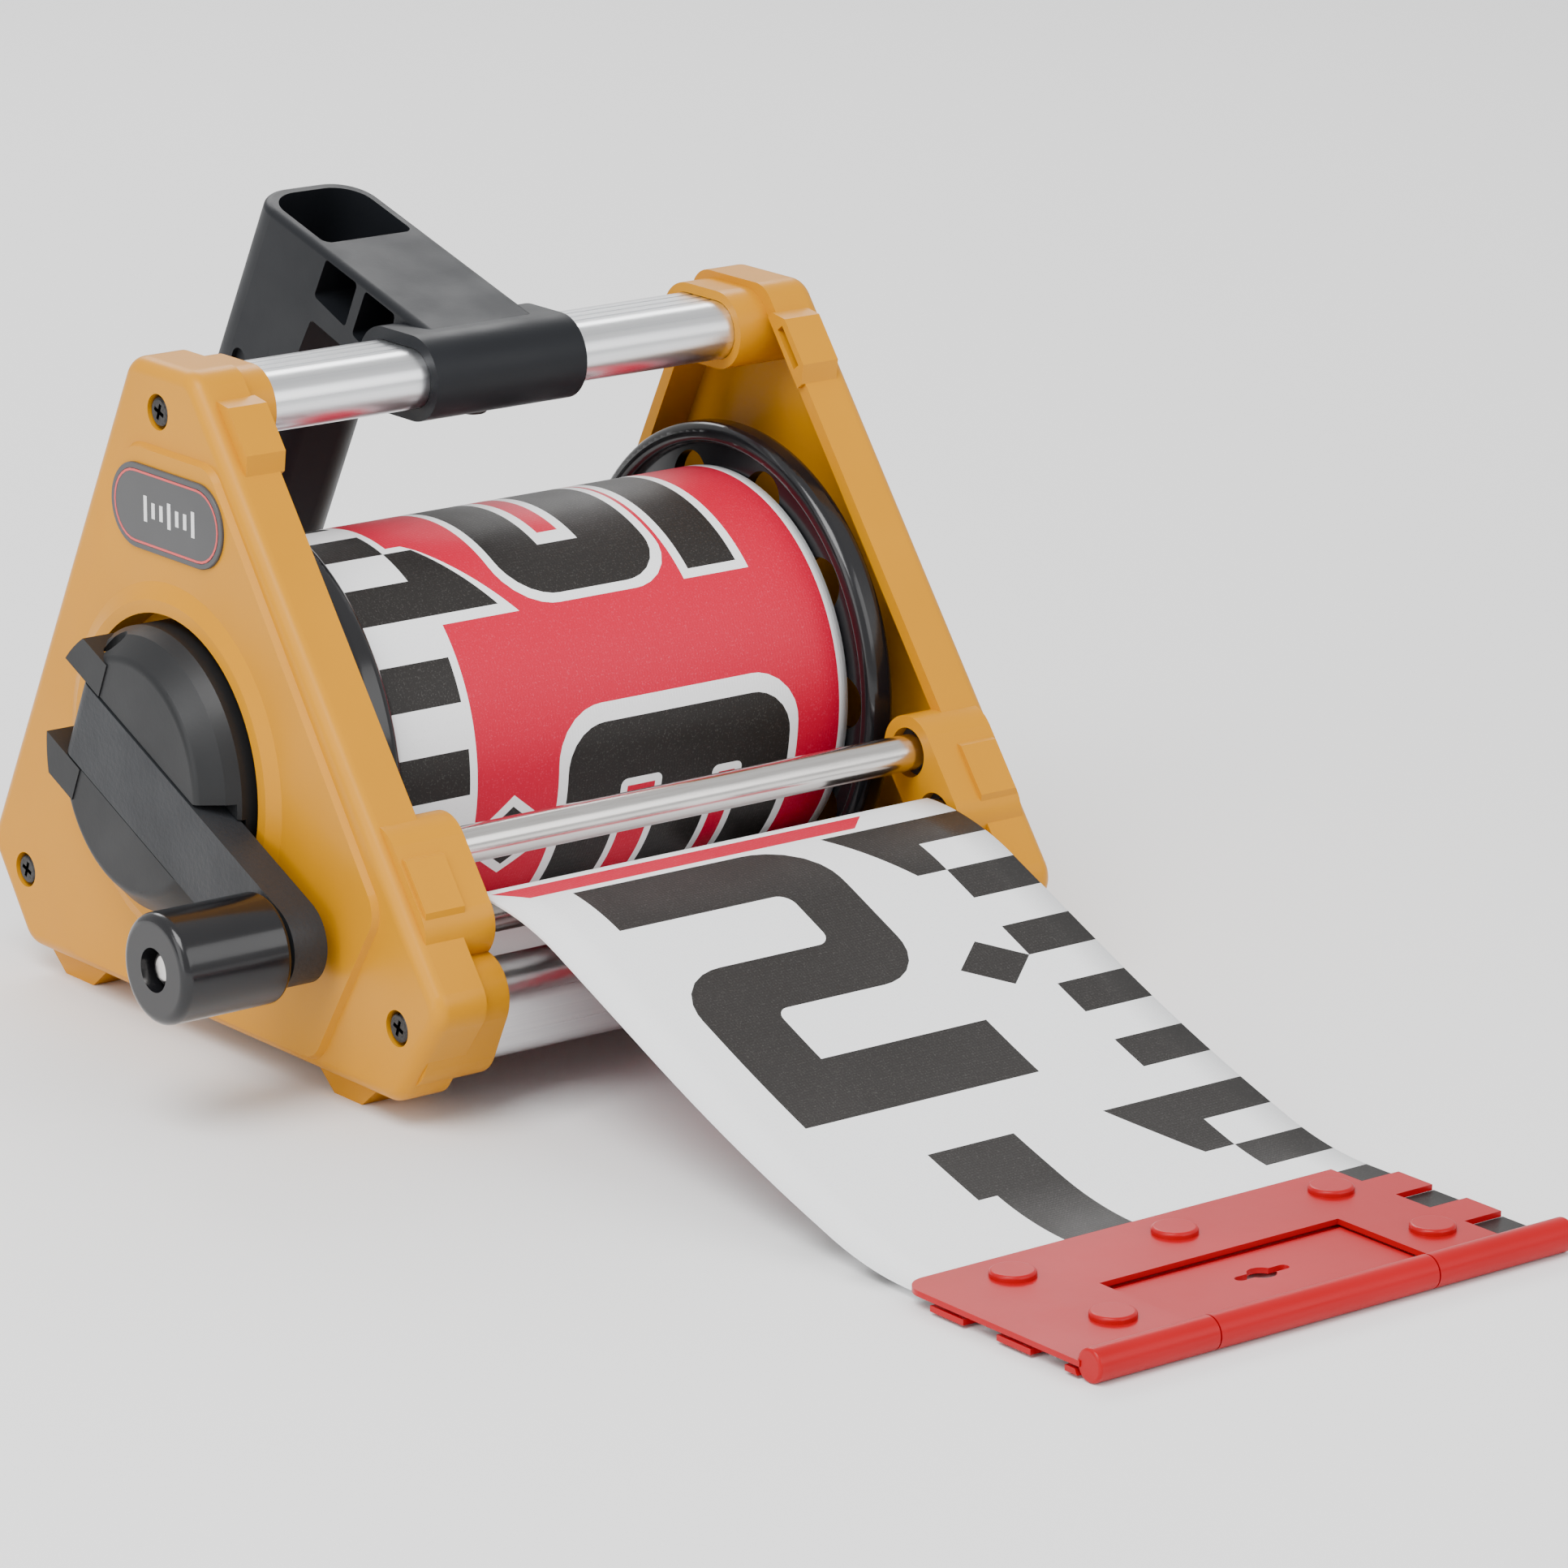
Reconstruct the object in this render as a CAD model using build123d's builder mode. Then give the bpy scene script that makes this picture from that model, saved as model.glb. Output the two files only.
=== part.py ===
"""Surveyor's hand reel for a 120 mm wide levelling-rod tape.

Frame: X runs along the reel axis with the crank side at -X, the tape leaves
the reel towards -Y, Z is up and the floor is Z = 0.  Millimetres throughout.
"""
import os
from math import asin, atan2, cos, degrees, hypot, radians, sin

from build123d import *

# ------------------------------------------------------------ driving sizes
AXIS_Z = 60.5            # height of the reel axis above the floor
FACE_X = 82.0            # outer face of each side frame, from the mid plane
PANEL_X = 83.4           # raised triangular panel on that face
RING_X = 85.0            # crest of the ring round the hub opening
FLANGE_X = 69.5          # inner edge of the perimeter flange
BOSS_X = 61.5            # inner face of the tube and rod bosses
WALL = 3.0               # moulding wall

TOP_TUBE = (6.5, 136.5)          # (y, z) of the three frame tubes
REAR_TUBE = (62.8, 22.9)
FRONT_TUBE = (-79.2, 22.9)
TUBE_TILT = {TOP_TUBE: 0.0, REAR_TUBE: 65.0, FRONT_TUBE: 115.0}
TUBE_SIZE = (24.0, 13.0)         # long and short way across the tube
BOSS_SIZE = (28.5, 17.5)
TUBE_END_X = 76.6

UPPER_ROD = (-67.7, 55.0)        # (y, z) of the two guide rods
LOWER_ROD = (-77.2, 42.5)
ROD_R = 4.0
ROD_END_X = 73.0
ROD_BUSH_R = 5.5
ROD_BOSS_W = 16.4
ROD_SPACING = hypot(UPPER_ROD[0] - LOWER_ROD[0], UPPER_ROD[1] - LOWER_ROD[1])
ROD_SLOPE = degrees(atan2(UPPER_ROD[1] - LOWER_ROD[1], UPPER_ROD[0] - LOWER_ROD[0]))

HUB_R = 31.5             # crank hub
HUB_OPENING_R = 33.7
HUB_RIM_X = 87.5
HUB_TOP_X = 95.2
HUB_BACK_X = 78.2
POCKET_X = 77.5          # floor of the pocket that the hub turns in
SHAFT_R = 5.0
SHAFT_BUSH_R = 7.5
CAP_R = 13.6             # cap over the far end of the shaft
CAP_SEAT_X = 81.6

CRANK_ANGLE = 24.2       # crank direction below the -Y axis
CRANK_R = 58.0           # reel axis to knob axis
ARM_W = 18.6
ARM_OUT_X = 95.5
ARM_IN_X = 87.4
FOLD_BACK = 20.0         # fold pin behind the reel axis, along the arm
CHANNEL_W = 19.6
EAR_W = 36.0

KNOB_R = 11.8
KNOB_IN_X = 97.6
KNOB_OUT_X = 124.0

DRUM_R = 22.0
ROLL_R = 44.6
FLANGE_R = 54.4
TAPE_W = 120.0
TAPE_T = 0.5

HANDLE_X = -0.7          # the handle sits a little off the mid plane
HANDLE_W = 28.6
GRIP_LEAN = 27.0         # grip leans back from the vertical

HOOK_ZERO_Y = -278.5     # front edge of the hook, zero of the graduation
BARREL_R = 3.5
HOOK_PIN_R = 1.5
HOOK_BACK_Y = -219.3
HOOK_LEFT_X = -62.3
HOOK_RIGHT_X = 60.0
STEP = 10.0              # graduation step
BOTTOM_PLATE_Z = (0.8, 2.0)
TAPE_MID_Z = 2.35
TOP_PLATE_Z = (2.7, 3.9)
BADGE_AT = (0.9, 115.6)
BADGE_SIZE = (42.0, 18.4)

LEFT, RIGHT = -1, 1
REEL_AXIS = Axis((0, 0, AXIS_Z), (1, 0, 0))


# ------------------------------------------------------------------ helpers
def across(x):
    """Sketch plane square to the reel axis; its own axes are Y and Z."""
    return Plane.YZ.offset(x)


def save(piece, name):
    """Label a finished piece and write it, with the origin below the middle of the whole."""
    placed = piece.part.moved(Location((-MIDDLE[0], -MIDDLE[1], 0)))
    placed.label = name
    export_step(placed, f"parts/{name}.step")


def crank_point(along, sideways=0.0):
    """(y, z) of a point given along and across the crank arm."""
    turn = radians(180 + CRANK_ANGLE)
    return (along * cos(turn) - sideways * sin(turn),
            AXIS_Z + along * sin(turn) + sideways * cos(turn))


def crank_plane(x):
    """Plane square to the reel axis whose own X runs along the crank arm."""
    turn = radians(180 + CRANK_ANGLE)
    return Plane(origin=(x, 0, AXIS_Z), x_dir=(0, cos(turn), sin(turn)), z_dir=(1, 0, 0))


def rounded_outline(corners, radius):
    """Closed polygon with rounded corners, added to the sketch in progress."""
    with BuildLine() as ring:
        FilletPolyline(*corners, radius=radius, close=True)
    make_face(ring.edges())


def oblong_at(centre, size, tilt):
    """Round-ended slot shape, added to the sketch in progress."""
    with Locations(centre):
        SlotOverall(size[0], size[1], rotation=tilt)


# -------------------------------------------------------------- side frames
PLATE_OUTLINE = [(18.2, 146.8), (77.8, 26.8), (62.8, 5.8),
                 (-78.0, 5.8), (-95.0, 29.0), (-5.9, 146.8)]
PANEL_OUTLINE = [(17.5, 129.6), (61.8, 36.0), (43.5, 7.6),
                 (-51.5, 7.6), (-75.5, 46.0), (-15.0, 129.6)]
FRONT_EDGE = (PLATE_OUTLINE[4], PLATE_OUTLINE[5])
MIDDLE = (-19.5, -77.47)                       # x, y of the middle of the whole part
PAD_HEIGHTS = [(129.8, 138.8), (46.2, 55.6)]   # z range of the two edge pads
PAD_RISE = 3.1
PAD_RAMP = 2.6
PAD_IN_X = 68.5
PAD_OUT_X = 78.2
FEET = [(-59.0, -49.0), (44.0, 55.0)]          # y range of the flat of each foot
FOOT_SPREAD = 8.0
SCREW_POCKET_R = 3.9
SCREW_SEAT_X = 79.5


def edge_point(z, out=0.0):
    """Point on the sloping front edge at height z, moved out square to it."""
    (y0, z0), (y1, z1) = FRONT_EDGE
    length = hypot(y1 - y0, z1 - z0)
    share = (z - z0) / (z1 - z0)
    return (y0 + share * (y1 - y0) - out * (z1 - z0) / length,
            z + out * (y1 - y0) / length)


def edge_pad(z_low, z_high):
    """Outline of a raised pad on the front edge, with a ramp at each end."""
    Polygon(edge_point(z_low - PAD_RAMP, -2), edge_point(z_low - PAD_RAMP),
            edge_point(z_low, PAD_RISE), edge_point(z_high, PAD_RISE),
            edge_point(z_high + PAD_RAMP), edge_point(z_high + PAD_RAMP, -2), align=None)


def foot_outline(y_low, y_high):
    """Outline of one foot under the bottom edge."""
    Polygon((y_low, 0), (y_high, 0), (y_high + FOOT_SPREAD, 6.5),
            (y_low - FOOT_SPREAD, 6.5), align=None)


def side_frame(side):
    """One moulded side frame: side is -1 on the crank side, +1 on the other."""
    inward = -side
    with BuildPart() as frame:
        # the shell: face plus perimeter flange
        with BuildSketch(across(side * FACE_X)):
            rounded_outline(PLATE_OUTLINE, 6.5)
        extrude(amount=inward * (FACE_X - FLANGE_X))
        outer = frame.faces().filter_by(Axis.X).sort_by(Axis.X)[-1 if side > 0 else 0]
        fillet(outer.edges(), 3.2)
        with BuildSketch(across(side * (FACE_X - WALL))):
            rounded_outline(PLATE_OUTLINE, 6.5)
            offset(amount=-WALL, mode=Mode.REPLACE)
        extrude(amount=inward * (FACE_X - WALL - FLANGE_X), mode=Mode.SUBTRACT)

        # raised panel and the ring round the hub
        with BuildSketch(across(side * (FACE_X - 1))):
            rounded_outline(PANEL_OUTLINE, 8)
        extrude(amount=side * (PANEL_X - FACE_X + 1), taper=30)
        with BuildSketch(Plane.XZ):
            with BuildLine():
                Polyline((side * (PANEL_X - 1), AXIS_Z), (side * (PANEL_X - 1), AXIS_Z + 40.2),
                         (side * PANEL_X, AXIS_Z + 40.2), (side * RING_X, AXIS_Z + 36.5),
                         (side * RING_X, AXIS_Z), close=True)
            make_face()
        revolve(axis=REEL_AXIS)

        # bosses that take the three tubes, and the pair of guide rods
        with BuildSketch(across(side * (FACE_X - WALL))):
            for centre, tilt in TUBE_TILT.items():
                oblong_at(centre, BOSS_SIZE, tilt)
        extrude(amount=inward * (FACE_X - WALL - BOSS_X))
        with BuildSketch(across(side * (FACE_X - WALL))):
            with Locations(((UPPER_ROD[0] + LOWER_ROD[0]) / 2, (UPPER_ROD[1] + LOWER_ROD[1]) / 2)):
                SlotCenterToCenter(ROD_SPACING, ROD_BOSS_W, rotation=ROD_SLOPE)
        extrude(amount=inward * (FACE_X - WALL - BOSS_X))

        # pads on the front edge and the two feet
        for z_low, z_high in PAD_HEIGHTS:
            with BuildSketch(across(side * PAD_IN_X)):
                edge_pad(z_low, z_high)
            extrude(amount=side * (PAD_OUT_X - PAD_IN_X))
        with BuildSketch(across(side * 63.0)):
            for y_low, y_high in FEET:
                foot_outline(y_low, y_high)
        extrude(amount=side * 14.0)

        # sockets, rod bores and screw seats
        for centre, tilt in TUBE_TILT.items():
            with BuildSketch(across(side * BOSS_X)):
                oblong_at(centre, (TUBE_SIZE[0] + 0.2, TUBE_SIZE[1] + 0.2), tilt)
            extrude(amount=side * (TUBE_END_X + 0.2 - BOSS_X), mode=Mode.SUBTRACT)
            with BuildSketch(across(side * (FACE_X + 1))):
                with Locations(centre):
                    Circle(SCREW_POCKET_R)
            extrude(amount=inward * (FACE_X + 1 - SCREW_SEAT_X), mode=Mode.SUBTRACT)
            with BuildSketch(across(side * (FACE_X + 1))):
                with Locations(centre):
                    Circle(2.2)
            extrude(amount=inward * 8, mode=Mode.SUBTRACT)
        with BuildSketch(across(side * BOSS_X)):
            with Locations(UPPER_ROD, LOWER_ROD):
                Circle(ROD_BUSH_R)
        extrude(amount=side * (ROD_END_X + 0.4 - BOSS_X), mode=Mode.SUBTRACT)

        # slots let into the pads for a carrying strap
        for z_low, z_high in PAD_HEIGHTS:
            with BuildSketch(across(side * PAD_IN_X)):
                Polygon(edge_point(z_low + 0.6, 1.4), edge_point(z_high - 0.6, 1.4),
                        edge_point(z_high - 0.6, -0.6), edge_point(z_low + 0.6, -0.6),
                        align=None)
            extrude(amount=side * 5.5, mode=Mode.SUBTRACT)

        # pocket that the hub turns in, and the seat of the shaft bush
        if side == LEFT:
            with BuildSketch(across(side * FACE_X)):
                with Locations((0, AXIS_Z)):
                    Circle(HUB_OPENING_R + WALL)
            extrude(amount=inward * (FACE_X - POCKET_X + WALL))
        seat_x = POCKET_X if side == LEFT else FACE_X - 1
        with BuildSketch(across(side * seat_x)):
            with Locations((0, AXIS_Z)):
                Circle(SHAFT_BUSH_R + 3.5)
        extrude(amount=inward * (seat_x - 70.5))
        with BuildSketch(across(side * (RING_X + 1))):
            with Locations((0, AXIS_Z)):
                Circle(HUB_OPENING_R if side == LEFT else CAP_R + 0.1)
        floor_x = POCKET_X if side == LEFT else CAP_SEAT_X
        extrude(amount=inward * (RING_X + 1 - floor_x), mode=Mode.SUBTRACT)
        with BuildSketch(across(side * RING_X)):
            with Locations((0, AXIS_Z)):
                Circle(SHAFT_BUSH_R)
        extrude(amount=inward * (RING_X - 69.0), mode=Mode.SUBTRACT)
    return frame


# ---------------------------------------------------------- tubes and rods
def frame_tube(centre, tilt, grooved=False):
    """Hollow aluminium extrusion with a core for the end screws; the top one is grooved."""
    with BuildPart() as tube:
        with BuildSketch(across(-TUBE_END_X)):
            oblong_at(centre, TUBE_SIZE, tilt)
            with Locations(centre):
                SlotOverall(TUBE_SIZE[0] - 3.2, TUBE_SIZE[1] - 3.2, rotation=tilt,
                            mode=Mode.SUBTRACT)
                Rectangle(1.6, TUBE_SIZE[1] - 1, rotation=tilt)
                Circle(3.4)
                Circle(1.7, mode=Mode.SUBTRACT)
        extrude(amount=2 * TUBE_END_X)
        face_plane = Plane(origin=(0, *centre), x_dir=(0, cos(radians(tilt)), sin(radians(tilt))),
                           z_dir=(1, 0, 0))
        if grooved:
            with BuildSketch(face_plane.offset(-TUBE_END_X)):
                with Locations(*[(place, TUBE_SIZE[1] / 2) for place in (-3.4, 0, 3.4)]):
                    Rectangle(0.8, 0.5)
            extrude(amount=2 * TUBE_END_X, mode=Mode.SUBTRACT)
    return tube


def guide_rod(centre):
    """Polished rod that turns in its two bushes."""
    with BuildPart() as rod:
        with BuildSketch(across(-ROD_END_X)):
            with Locations(centre):
                Circle(ROD_R)
        extrude(amount=2 * ROD_END_X)
        chamfer(rod.edges().filter_by(GeomType.CIRCLE), 0.5)
    return rod


def rod_bushes(side):
    """The upper and lower plastic bush on one side."""
    with BuildPart() as bushes:
        with BuildSketch(across(side * 64.0)):
            with Locations(UPPER_ROD, LOWER_ROD):
                Circle(ROD_BUSH_R - 0.03)
                Circle(ROD_R + 0.08, mode=Mode.SUBTRACT)
        extrude(amount=side * 8.0)
    return bushes


def frame_screws(side):
    """Three cross-recess pan-head screws of one side frame."""
    inward = -side
    head_r, head_h = 3.4, 2.2
    with BuildPart() as screws:
        with BuildSketch(across(side * SCREW_SEAT_X)):
            with Locations(*TUBE_TILT):
                Circle(head_r)
        extrude(amount=side * head_h)
        crowns = screws.faces().filter_by(Axis.X).group_by(Axis.X)[-1 if side > 0 else 0]
        fillet(crowns.edges(), 0.9)
        with BuildSketch(across(side * SCREW_SEAT_X)):
            with Locations(*TUBE_TILT):
                Circle(1.66)
        extrude(amount=inward * 16.0)
        with BuildSketch(across(side * (SCREW_SEAT_X + head_h))):
            with Locations(*TUBE_TILT):
                Rectangle(3.6, 0.9, rotation=20)
                Rectangle(0.9, 3.6, rotation=20)
        extrude(amount=inward * 1.5, mode=Mode.SUBTRACT)
    return screws


# ------------------------------------------------------------------ handle
HANDLE_TOP = [(2.0, 145.5), (71.4, 165.0)]       # slope of the handle's upper face
GRIP_BACK_OFFSET = 138.5                          # grip faces, measured square to its lean
GRIP_FRONT_OFFSET = 107.3
GRIP_LENGTH = 118.0
SLEEVE_HALF = 19.8
SOCKET_SIZE = (24.0, 24.6)
SOCKET_BACK = 0.9        # the socket sits towards the back of the grip
SOCKET_DEPTH = 78.0
WINDOWS = [[(41.3, 155.0), (29.4, 151.6), (34.4, 141.2), (46.2, 146.0)],
           [(26.4, 150.5), (15.3, 147.2), (16.2, 144.6), (23.2, 141.2), (27.8, 138.2), (31.8, 140.0)]]
WINDOW_DEPTH = 12.6
GRIP_DIR = (0, sin(radians(GRIP_LEAN)), -cos(radians(GRIP_LEAN)))


def grip_point(offset, run):
    """(y, z) at a distance square to the grip's lean and a run down its length."""
    lean = radians(GRIP_LEAN)
    return (offset * cos(lean) + run * sin(lean), offset * sin(lean) - run * cos(lean))


def handle():
    """Sleeve round the top tube, cored arm and hollow leaning grip in one moulding."""
    top_y, top_z = HANDLE_TOP[1]
    lean = radians(GRIP_LEAN)
    top_run = top_y * sin(lean) - top_z * cos(lean)
    middle = (GRIP_BACK_OFFSET + GRIP_FRONT_OFFSET) / 2
    start = grip_point(middle, top_run - 20)
    grip_plane = Plane(origin=(HANDLE_X, *start), x_dir=(1, 0, 0), z_dir=GRIP_DIR)
    upper_face = Plane(origin=(0, *HANDLE_TOP[1]), x_dir=(1, 0, 0),
                       z_dir=(0, HANDLE_TOP[0][1] - top_z, top_y - HANDLE_TOP[0][0]))
    thickness = GRIP_BACK_OFFSET - GRIP_FRONT_OFFSET
    with BuildPart() as piece:
        with BuildSketch(grip_plane):
            RectangleRounded(HANDLE_W, thickness, 9.5)
        extrude(amount=GRIP_LENGTH + 20)
        fillet(piece.faces().sort_by(Axis.Z)[0].edges(), 4)
        with BuildSketch(across(HANDLE_X - HANDLE_W / 2)):
            rounded_outline([(1.0, 148.5), (60.0, 166.5),
                             grip_point(GRIP_FRONT_OFFSET + 6, top_run + 36),
                             grip_point(GRIP_FRONT_OFFSET + 1, top_run + 36),
                             (47.5, 140.5), (14.0, 129.6)], 1.2)
        extrude(amount=HANDLE_W)
        split(bisect_by=upper_face, keep=Keep.BOTTOM)
        top_edges = piece.faces().sort_by(Axis.Z)[-1].edges()
        fillet(top_edges.filter_by(lambda edge: edge.length > 40), 1.6)
        with BuildSketch(across(HANDLE_X - SLEEVE_HALF)):
            oblong_at(TOP_TUBE, (TUBE_SIZE[0] + 5.8, TUBE_SIZE[1] + 5.8), 0)
        extrude(amount=2 * SLEEVE_HALF)

        # windows cored into both sides of the arm, leaving a centre web
        for side in (LEFT, RIGHT):
            for corners in WINDOWS:
                with BuildSketch(across(HANDLE_X + side * HANDLE_W / 2)):
                    rounded_outline(corners, 1.0)
                extrude(amount=-side * WINDOW_DEPTH, mode=Mode.SUBTRACT)
            with BuildSketch(across(HANDLE_X + side * HANDLE_W / 2)):
                with Locations(grip_point(middle + 2.5, top_run + 70)):
                    SlotOverall(72, 5.2, rotation=90 + GRIP_LEAN)
            extrude(amount=-side * 1.4, mode=Mode.SUBTRACT)

        # socket down the grip, and the bore for the top tube
        with BuildSketch(grip_plane):
            with Locations((0, -SOCKET_BACK)):
                RectangleRounded(*SOCKET_SIZE, 8)
            with Locations((0, SOCKET_SIZE[1] / 4 - SOCKET_BACK)):
                RectangleRounded(SOCKET_SIZE[0], SOCKET_SIZE[1] / 2, 2.5)
        extrude(amount=SOCKET_DEPTH + 20, taper=1.0, mode=Mode.SUBTRACT)
        with BuildSketch(across(HANDLE_X - SLEEVE_HALF)):
            oblong_at(TOP_TUBE, (TUBE_SIZE[0] + 0.2, TUBE_SIZE[1] + 0.2), 0)
        extrude(amount=2 * SLEEVE_HALF, mode=Mode.SUBTRACT)
        with BuildSketch(Plane(origin=(HANDLE_X, *TOP_TUBE))):
            Circle(1.5)
        extrude(amount=-TUBE_SIZE[1], mode=Mode.SUBTRACT)
    return piece


def handle_screw():
    """Screw that pins the handle sleeve to the underside of the top tube."""
    seat = TOP_TUBE[1] - TUBE_SIZE[1] / 2 - 2.9
    with BuildPart() as screw:
        with BuildSketch(Plane(origin=(HANDLE_X, TOP_TUBE[0], seat))):
            Circle(3.0)
        extrude(amount=-1.8)
        fillet(screw.faces().sort_by(Axis.Z)[0].edges(), 0.7)
        with BuildSketch(Plane(origin=(HANDLE_X, TOP_TUBE[0], seat))):
            Circle(1.4)
        extrude(amount=2.85)
    return screw


# -------------------------------------------------------------------- reel
WEB_IN_X, WEB_OUT_X = 61.0, 66.0     # flange web near the drum and near the rim
RIM_IN_R = 49.4


def reel_flange(side):
    """Dished reel flange with a round rim and arch-shaped windows."""
    def x(value):
        return side * value
    with BuildPart() as flange:
        with BuildSketch(Plane.XZ):
            with BuildLine():
                Polyline((x(WEB_IN_X), AXIS_Z + SHAFT_R + 0.05), (x(WEB_IN_X), AXIS_Z + 26),
                         (x(WEB_OUT_X - 1.6), AXIS_Z + RIM_IN_R + 1), (x(WEB_OUT_X + 1.2), AXIS_Z + RIM_IN_R + 1),
                         (x(WEB_IN_X + 2.8), AXIS_Z + 26), (x(68.6), AXIS_Z + 22),
                         (x(68.6), AXIS_Z + SHAFT_R + 0.05), close=True)
            make_face()
        revolve(axis=REEL_AXIS)
        with BuildSketch(Plane.XZ):
            with Locations((x((61.8 + 69.0) / 2), AXIS_Z + (RIM_IN_R + FLANGE_R) / 2)):
                RectangleRounded(7.2, FLANGE_R - RIM_IN_R, 2.3)
        revolve(axis=REEL_AXIS)
        with BuildSketch(across(x(60))):
            with Locations((0, AXIS_Z)):
                with PolarLocations(0, 10):
                    with Locations((38.0, 0)):
                        SlotOverall(20.4, 12.4)
        extrude(amount=x(12), mode=Mode.SUBTRACT)
    return flange


def drum():
    """Core that the tape is wound on, with a web at each end."""
    with BuildPart() as core:
        with BuildSketch(across(-WEB_IN_X)):
            with Locations((0, AXIS_Z)):
                Circle(DRUM_R)
                Circle(DRUM_R - 2.6, mode=Mode.SUBTRACT)
        extrude(amount=2 * WEB_IN_X)
        for side in (LEFT, RIGHT):
            with BuildSketch(across(side * 56)):
                with Locations((0, AXIS_Z)):
                    Circle(DRUM_R - 1)
                    Circle(SHAFT_R + 0.05, mode=Mode.SUBTRACT)
            extrude(amount=side * 4)
        # keyway that the inner end of the tape hooks into
        with BuildSketch(across(-TAPE_W / 2 + 2)):
            with Locations((0, AXIS_Z + DRUM_R)):
                Rectangle(7.2, 2.4)
        extrude(amount=TAPE_W - 4, mode=Mode.SUBTRACT)
    return core


def tape_clip():
    """Bar that wedges the inner end of the tape into the drum."""
    with BuildPart() as clip:
        with BuildSketch(across(-TAPE_W / 2 + 3)):
            with Locations((0, AXIS_Z + DRUM_R - 0.7)):
                Rectangle(6.8, 0.9)
        extrude(amount=TAPE_W - 6)
    return clip


def tape_roll():
    """The wound part of the tape."""
    with BuildPart() as roll:
        with BuildSketch(across(-TAPE_W / 2)):
            with Locations((0, AXIS_Z)):
                Circle(ROLL_R)
                Circle(DRUM_R + 0.05, mode=Mode.SUBTRACT)
        extrude(amount=TAPE_W)
    return roll


def shaft():
    """Steel shaft through drum and hub, with a ring groove at the far end."""
    with BuildPart() as bar:
        with BuildSketch(Plane.XZ):
            with BuildLine():
                Polyline((-HUB_BACK_X - 4.6, AXIS_Z), (-HUB_BACK_X - 4.6, AXIS_Z + SHAFT_R),
                         (79.0, AXIS_Z + SHAFT_R), (79.0, AXIS_Z + 3.8), (80.1, AXIS_Z + 3.8),
                         (80.1, AXIS_Z + SHAFT_R), (81.0, AXIS_Z + SHAFT_R), (81.0, AXIS_Z),
                         close=True)
            make_face()
        revolve(axis=REEL_AXIS)
        with BuildSketch(across(-HUB_BACK_X - 4.6)):
            with Locations((0, AXIS_Z)):
                Circle(1.9)
        extrude(amount=14, mode=Mode.SUBTRACT)
    return bar


def shaft_bush(side):
    """Flanged bush that carries one end of the shaft."""
    with BuildPart() as bush:
        with BuildSketch(across(side * 70.2)):
            with Locations((0, AXIS_Z)):
                Circle(SHAFT_BUSH_R - 0.03)
                Circle(SHAFT_R + 0.06, mode=Mode.SUBTRACT)
        extrude(amount=side * 7.2)
    return bush


def shaft_ring():
    """Retaining ring in the shaft groove."""
    with BuildPart() as ring:
        with BuildSketch(across(79.1)):
            with Locations((0, AXIS_Z)):
                Circle(6.6)
                Circle(3.85, mode=Mode.SUBTRACT)
                with Locations((5.5, 0)):
                    Rectangle(6, 3.4, mode=Mode.SUBTRACT)
        extrude(amount=0.9)
    return ring


def thrust_washer(side):
    """Washer between the reel and the bush boss."""
    with BuildPart() as washer:
        with BuildSketch(across(side * 69.0)):
            with Locations((0, AXIS_Z)):
                Circle(9.5)
                Circle(SHAFT_R + 0.08, mode=Mode.SUBTRACT)
        extrude(amount=side * 1.2)
    return washer


def shaft_cap():
    """Cap that closes the shaft hole on the far side."""
    with BuildPart() as cap:
        with BuildSketch(across(CAP_SEAT_X)):
            with Locations((0, AXIS_Z)):
                Circle(CAP_R)
        extrude(amount=3.0)
        fillet(cap.faces().sort_by(Axis.X)[-1].edges(), 1.2)
        with BuildSketch(across(CAP_SEAT_X)):
            with Locations((0, AXIS_Z)):
                Circle(9.0)
        extrude(amount=1.0, mode=Mode.SUBTRACT)
    return cap


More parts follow.
